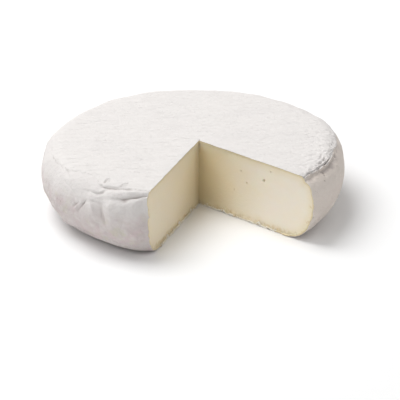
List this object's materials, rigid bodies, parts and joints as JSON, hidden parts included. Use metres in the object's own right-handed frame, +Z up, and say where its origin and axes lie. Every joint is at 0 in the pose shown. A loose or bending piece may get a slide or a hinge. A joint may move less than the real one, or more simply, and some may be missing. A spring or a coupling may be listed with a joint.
{
  "type": "brie wheel",
  "caption": "Round soft-ripened cheese wheel with a white bloomy rind, rounded shoulders and one wedge cut out down to its middle.",
  "frame": {"origin": "centre of the bounding box at the flat underside", "axes": "+Z up, out of the flat top; the cut-out notch opens towards -Y"},
  "size_m": [0.2302, 0.2178, 0.0534],
  "materials": {
    "rind": "white mould rind, soft, matte and finely felted",
    "paste": "ivory soft cheese, smooth and slightly moist"
  },
  "bodies": {
    "root": {"brie_wheel": "rind"}
  },
  "joints": []
}
